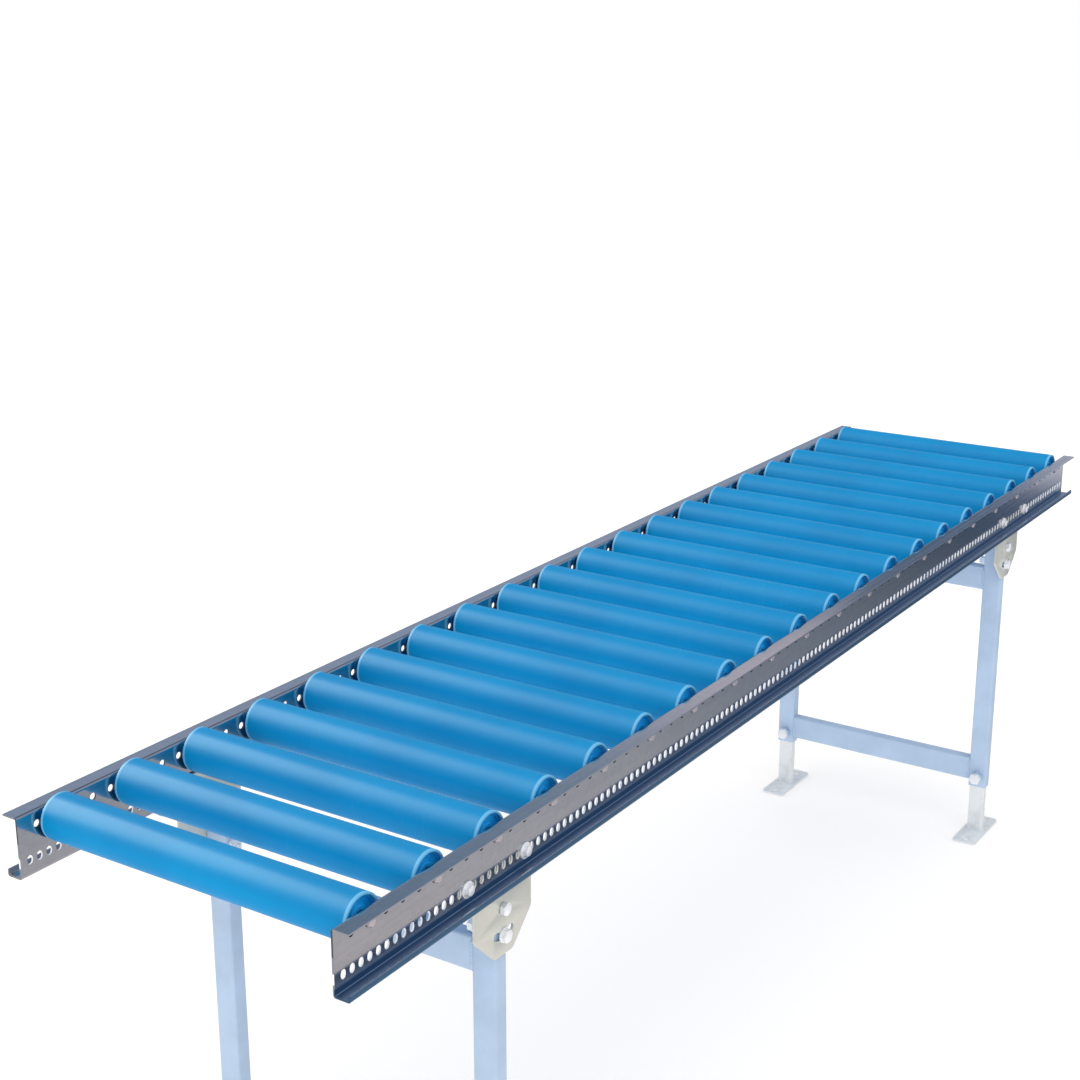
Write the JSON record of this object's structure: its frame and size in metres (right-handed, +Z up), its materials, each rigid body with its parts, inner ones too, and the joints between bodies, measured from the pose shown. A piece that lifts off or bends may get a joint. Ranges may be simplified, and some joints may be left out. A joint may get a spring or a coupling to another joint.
{
  "type": "gravity roller conveyor",
  "caption": "Straight gravity roller conveyor: plastic rollers turning on steel axles between two folded steel rails, on tilting, height-adjustable H-shaped stands.",
  "frame": {"origin": "on the floor below the middle of the bed", "axes": "+X along the conveyor from infeed to outfeed, +Y to the left rail, +Z up"},
  "size_m": [2, 0.44, 0.63],
  "materials": {
    "rail_steel": "satin galvanised sheet steel",
    "roller_plastic": "satin extruded plastic tube, sky blue",
    "axle_steel": "bright drawn steel",
    "plate_paint": "satin cream powder coat",
    "stand_paint": "satin pale blue powder coat",
    "leg_zinc": "pale zinc plate",
    "bolt_zinc": "bright zinc plate"
  },
  "bodies": {
    "bed": {"side_rail_left": "rail_steel", "side_rail_right": "rail_steel", "axle_01": "axle_steel", "axle_02": "axle_steel", "axle_03": "axle_steel", "axle_04": "axle_steel", "axle_05": "axle_steel", "axle_06": "axle_steel", "axle_07": "axle_steel", "axle_08": "axle_steel", "axle_09": "axle_steel", "axle_10": "axle_steel", "axle_11": "axle_steel", "axle_12": "axle_steel", "axle_13": "axle_steel", "axle_14": "axle_steel", "axle_15": "axle_steel", "axle_16": "axle_steel", "axle_17": "axle_steel", "axle_18": "axle_steel", "axle_19": "axle_steel", "axle_20": "axle_steel", "head_plate_infeed_left": "plate_paint", "head_plate_infeed_right": "plate_paint", "head_plate_outfeed_left": "plate_paint", "head_plate_outfeed_right": "plate_paint", "pivot_bolt_infeed_left": "bolt_zinc", "pivot_bolt_infeed_right": "bolt_zinc", "pivot_bolt_outfeed_left": "bolt_zinc", "pivot_bolt_outfeed_right": "bolt_zinc"},
    "roller_01_body": {"roller_01": "roller_plastic"},
    "roller_02_body": {"roller_02": "roller_plastic"},
    "roller_03_body": {"roller_03": "roller_plastic"},
    "roller_04_body": {"roller_04": "roller_plastic"},
    "roller_05_body": {"roller_05": "roller_plastic"},
    "roller_06_body": {"roller_06": "roller_plastic"},
    "roller_07_body": {"roller_07": "roller_plastic"},
    "roller_08_body": {"roller_08": "roller_plastic"},
    "roller_09_body": {"roller_09": "roller_plastic"},
    "roller_10_body": {"roller_10": "roller_plastic"},
    "roller_11_body": {"roller_11": "roller_plastic"},
    "roller_12_body": {"roller_12": "roller_plastic"},
    "roller_13_body": {"roller_13": "roller_plastic"},
    "roller_14_body": {"roller_14": "roller_plastic"},
    "roller_15_body": {"roller_15": "roller_plastic"},
    "roller_16_body": {"roller_16": "roller_plastic"},
    "roller_17_body": {"roller_17": "roller_plastic"},
    "roller_18_body": {"roller_18": "roller_plastic"},
    "roller_19_body": {"roller_19": "roller_plastic"},
    "roller_20_body": {"roller_20": "roller_plastic"},
    "stand_infeed": {"stand_frame_infeed": "stand_paint", "clamp_bolt_infeed_left": "bolt_zinc", "clamp_bolt_infeed_right": "bolt_zinc"},
    "stand_outfeed": {"stand_frame_outfeed": "stand_paint", "clamp_bolt_outfeed_left": "bolt_zinc", "clamp_bolt_outfeed_right": "bolt_zinc"},
    "leg_infeed_left": {"foot_leg_infeed_left": "leg_zinc"},
    "leg_infeed_right": {"foot_leg_infeed_right": "leg_zinc"},
    "leg_outfeed_left": {"foot_leg_outfeed_left": "leg_zinc"},
    "leg_outfeed_right": {"foot_leg_outfeed_right": "leg_zinc"}
  },
  "joints": [
    {"name": "roller_01_spin", "type": "hinge", "parent": "bed", "child": "roller_01_body", "pos_m": [-0.95, 0, 0.605], "axis": [0, 1, 0], "continuous": true},
    {"name": "roller_02_spin", "type": "hinge", "parent": "bed", "child": "roller_02_body", "pos_m": [-0.85, 0, 0.605], "axis": [0, 1, 0], "continuous": true},
    {"name": "roller_03_spin", "type": "hinge", "parent": "bed", "child": "roller_03_body", "pos_m": [-0.75, 0, 0.605], "axis": [0, 1, 0], "continuous": true},
    {"name": "roller_04_spin", "type": "hinge", "parent": "bed", "child": "roller_04_body", "pos_m": [-0.65, 0, 0.605], "axis": [0, 1, 0], "continuous": true},
    {"name": "roller_05_spin", "type": "hinge", "parent": "bed", "child": "roller_05_body", "pos_m": [-0.55, 0, 0.605], "axis": [0, 1, 0], "continuous": true},
    {"name": "roller_06_spin", "type": "hinge", "parent": "bed", "child": "roller_06_body", "pos_m": [-0.45, 0, 0.605], "axis": [0, 1, 0], "continuous": true},
    {"name": "roller_07_spin", "type": "hinge", "parent": "bed", "child": "roller_07_body", "pos_m": [-0.35, 0, 0.605], "axis": [0, 1, 0], "continuous": true},
    {"name": "roller_08_spin", "type": "hinge", "parent": "bed", "child": "roller_08_body", "pos_m": [-0.25, 0, 0.605], "axis": [0, 1, 0], "continuous": true},
    {"name": "roller_09_spin", "type": "hinge", "parent": "bed", "child": "roller_09_body", "pos_m": [-0.15, 0, 0.605], "axis": [0, 1, 0], "continuous": true},
    {"name": "roller_10_spin", "type": "hinge", "parent": "bed", "child": "roller_10_body", "pos_m": [-0.05, 0, 0.605], "axis": [0, 1, 0], "continuous": true},
    {"name": "roller_11_spin", "type": "hinge", "parent": "bed", "child": "roller_11_body", "pos_m": [0.05, 0, 0.605], "axis": [0, 1, 0], "continuous": true},
    {"name": "roller_12_spin", "type": "hinge", "parent": "bed", "child": "roller_12_body", "pos_m": [0.15, 0, 0.605], "axis": [0, 1, 0], "continuous": true},
    {"name": "roller_13_spin", "type": "hinge", "parent": "bed", "child": "roller_13_body", "pos_m": [0.25, 0, 0.605], "axis": [0, 1, 0], "continuous": true},
    {"name": "roller_14_spin", "type": "hinge", "parent": "bed", "child": "roller_14_body", "pos_m": [0.35, 0, 0.605], "axis": [0, 1, 0], "continuous": true},
    {"name": "roller_15_spin", "type": "hinge", "parent": "bed", "child": "roller_15_body", "pos_m": [0.45, 0, 0.605], "axis": [0, 1, 0], "continuous": true},
    {"name": "roller_16_spin", "type": "hinge", "parent": "bed", "child": "roller_16_body", "pos_m": [0.55, 0, 0.605], "axis": [0, 1, 0], "continuous": true},
    {"name": "roller_17_spin", "type": "hinge", "parent": "bed", "child": "roller_17_body", "pos_m": [0.65, 0, 0.605], "axis": [0, 1, 0], "continuous": true},
    {"name": "roller_18_spin", "type": "hinge", "parent": "bed", "child": "roller_18_body", "pos_m": [0.75, 0, 0.605], "axis": [0, 1, 0], "continuous": true},
    {"name": "roller_19_spin", "type": "hinge", "parent": "bed", "child": "roller_19_body", "pos_m": [0.85, 0, 0.605], "axis": [0, 1, 0], "continuous": true},
    {"name": "roller_20_spin", "type": "hinge", "parent": "bed", "child": "roller_20_body", "pos_m": [0.95, 0, 0.605], "axis": [0, 1, 0], "continuous": true},
    {"name": "stand_infeed_tilt", "type": "hinge", "parent": "bed", "child": "stand_infeed", "pos_m": [-0.735, 0, 0.52], "axis": [0, 1, 0], "range_deg": [-23, 23]},
    {"name": "stand_outfeed_tilt", "type": "hinge", "parent": "bed", "child": "stand_outfeed", "pos_m": [0.735, 0, 0.52], "axis": [0, 1, 0], "range_deg": [-23, 23]},
    {"name": "leg_infeed_left_height", "type": "slide", "parent": "stand_infeed", "child": "leg_infeed_left", "axis": [0, 0, -1], "range_m": [-0.07, 0.15]},
    {"name": "leg_infeed_right_height", "type": "slide", "parent": "stand_infeed", "child": "leg_infeed_right", "axis": [0, 0, -1], "range_m": [-0.07, 0.15]},
    {"name": "leg_outfeed_left_height", "type": "slide", "parent": "stand_outfeed", "child": "leg_outfeed_left", "axis": [0, 0, -1], "range_m": [-0.07, 0.15]},
    {"name": "leg_outfeed_right_height", "type": "slide", "parent": "stand_outfeed", "child": "leg_outfeed_right", "axis": [0, 0, -1], "range_m": [-0.07, 0.15]}
  ]
}
